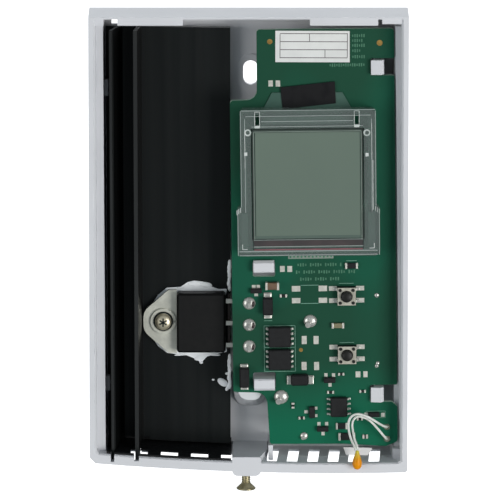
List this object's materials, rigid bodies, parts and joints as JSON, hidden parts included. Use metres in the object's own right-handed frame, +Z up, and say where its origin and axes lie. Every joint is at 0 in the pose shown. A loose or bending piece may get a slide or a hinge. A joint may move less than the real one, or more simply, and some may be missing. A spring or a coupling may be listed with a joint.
{
  "type": "wall thermostat",
  "caption": "Line-voltage electronic wall thermostat, shown without its front cover: a rear housing with a finned heat sink, circuit board, display, push buttons and a room sensor.",
  "frame": {"origin": "centre of the housing's back face, on the wall", "axes": "+Y into the wall, so the front faces -Y; +Z up; +X to the right as seen from the front"},
  "size_m": [0.08, 0.0229, 0.1205],
  "materials": {
    "housing_plastic": "light grey moulded plastic, satin",
    "black_film": "black film or black-finished spring ring",
    "anodised_aluminium": "black anodised extrusion",
    "bare_metal": "tinned or nickel-plated metal",
    "black_epoxy": "moulded black epoxy",
    "thermal_paste": "white heat-conducting paste",
    "zinc_screw": "yellow zinc plating",
    "board_laminate": "green solder mask over glass laminate",
    "label_paper": "white paper",
    "clear_plastic": "clear moulded plastic",
    "display_glass": "grey-green display glass",
    "flex_film": "thin flexible circuit",
    "switch_cover": "tinned steel",
    "ceramic": "brown capacitor ceramic",
    "orange_ceramic": "orange capacitor ceramic or coating",
    "bead_epoxy": "orange dipped epoxy",
    "lead_insulation": "pale wire insulation",
    "capacitor_film": "yellow capacitor case",
    "brass": "plated brass"
  },
  "bodies": {
    "housing": {"rear_housing": "housing_plastic", "vent_liner": "black_film", "heat_sink": "anodised_aluminium", "triac_tab": "bare_metal", "triac_body": "black_epoxy", "triac_lead_1": "bare_metal", "triac_lead_2": "bare_metal", "triac_lead_3": "bare_metal", "triac_screw": "bare_metal", "triac_washer": "bare_metal", "thermal_paste": "thermal_paste", "circuit_board": "board_laminate", "board_label": "label_paper", "lcd_holder": "clear_plastic", "lcd_glass": "display_glass", "lcd_polariser": "display_glass", "lcd_reflector": "label_paper", "lcd_flex": "flex_film", "flex_tape": "black_film", "up_switch_base": "black_epoxy", "up_switch_cover": "switch_cover", "up_switch_dome": "bare_metal", "down_switch_base": "black_epoxy", "down_switch_cover": "switch_cover", "down_switch_dome": "bare_metal", "optocoupler_upper": "black_epoxy", "optocoupler_lower": "black_epoxy", "control_ic": "black_epoxy", "rectifier_upper": "black_epoxy", "rectifier_lower": "black_epoxy", "rectifier_left": "black_epoxy", "ceramic_capacitor": "ceramic", "orange_capacitor": "orange_ceramic", "transistor_upper": "black_epoxy", "transistor_middle": "black_epoxy", "transistor_centre": "black_epoxy", "transistor_lower": "black_epoxy", "signal_diode": "black_epoxy", "fuse_resistor": "black_epoxy", "sense_resistor": "black_epoxy", "thermistor_bead": "bead_epoxy", "thermistor_lead_a": "lead_insulation", "thermistor_lead_b": "lead_insulation", "thermistor_film": "clear_plastic", "film_capacitor": "capacitor_film", "electrolytic_capacitor": "black_epoxy", "varistor": "orange_ceramic", "microcontroller": "black_epoxy", "line_terminal_a": "brass", "line_terminal_b": "brass"},
    "screw_ring": {"captive_ring": "black_film"},
    "cover_screw": {"captive_screw": "zinc_screw"},
    "up_button": {"up_switch_plunger": "black_epoxy"},
    "down_button": {"down_switch_plunger": "black_epoxy"}
  },
  "joints": [
    {"name": "up_press", "type": "slide", "parent": "housing", "child": "up_button", "axis": [0, 1, 0], "range_m": [0, 0.00025], "stiffness_N_per_m": 300},
    {"name": "down_press", "type": "slide", "parent": "housing", "child": "down_button", "axis": [0, 1, 0], "range_m": [0, 0.00025], "stiffness_N_per_m": 300},
    {"name": "screw_travel", "type": "slide", "parent": "housing", "child": "screw_ring", "axis": [0, 0, 1], "range_m": [0, 0.0027]},
    {"name": "screw_turn", "type": "hinge", "parent": "screw_ring", "child": "cover_screw", "pos_m": [-0.00065, -0.01, -0.058], "axis": [0, 0, 1], "range_deg": [0, 2160]}
  ],
  "couplings": [
    {"joint": "screw_turn", "follows": "screw_travel", "rad_per_m": 13962}
  ]
}
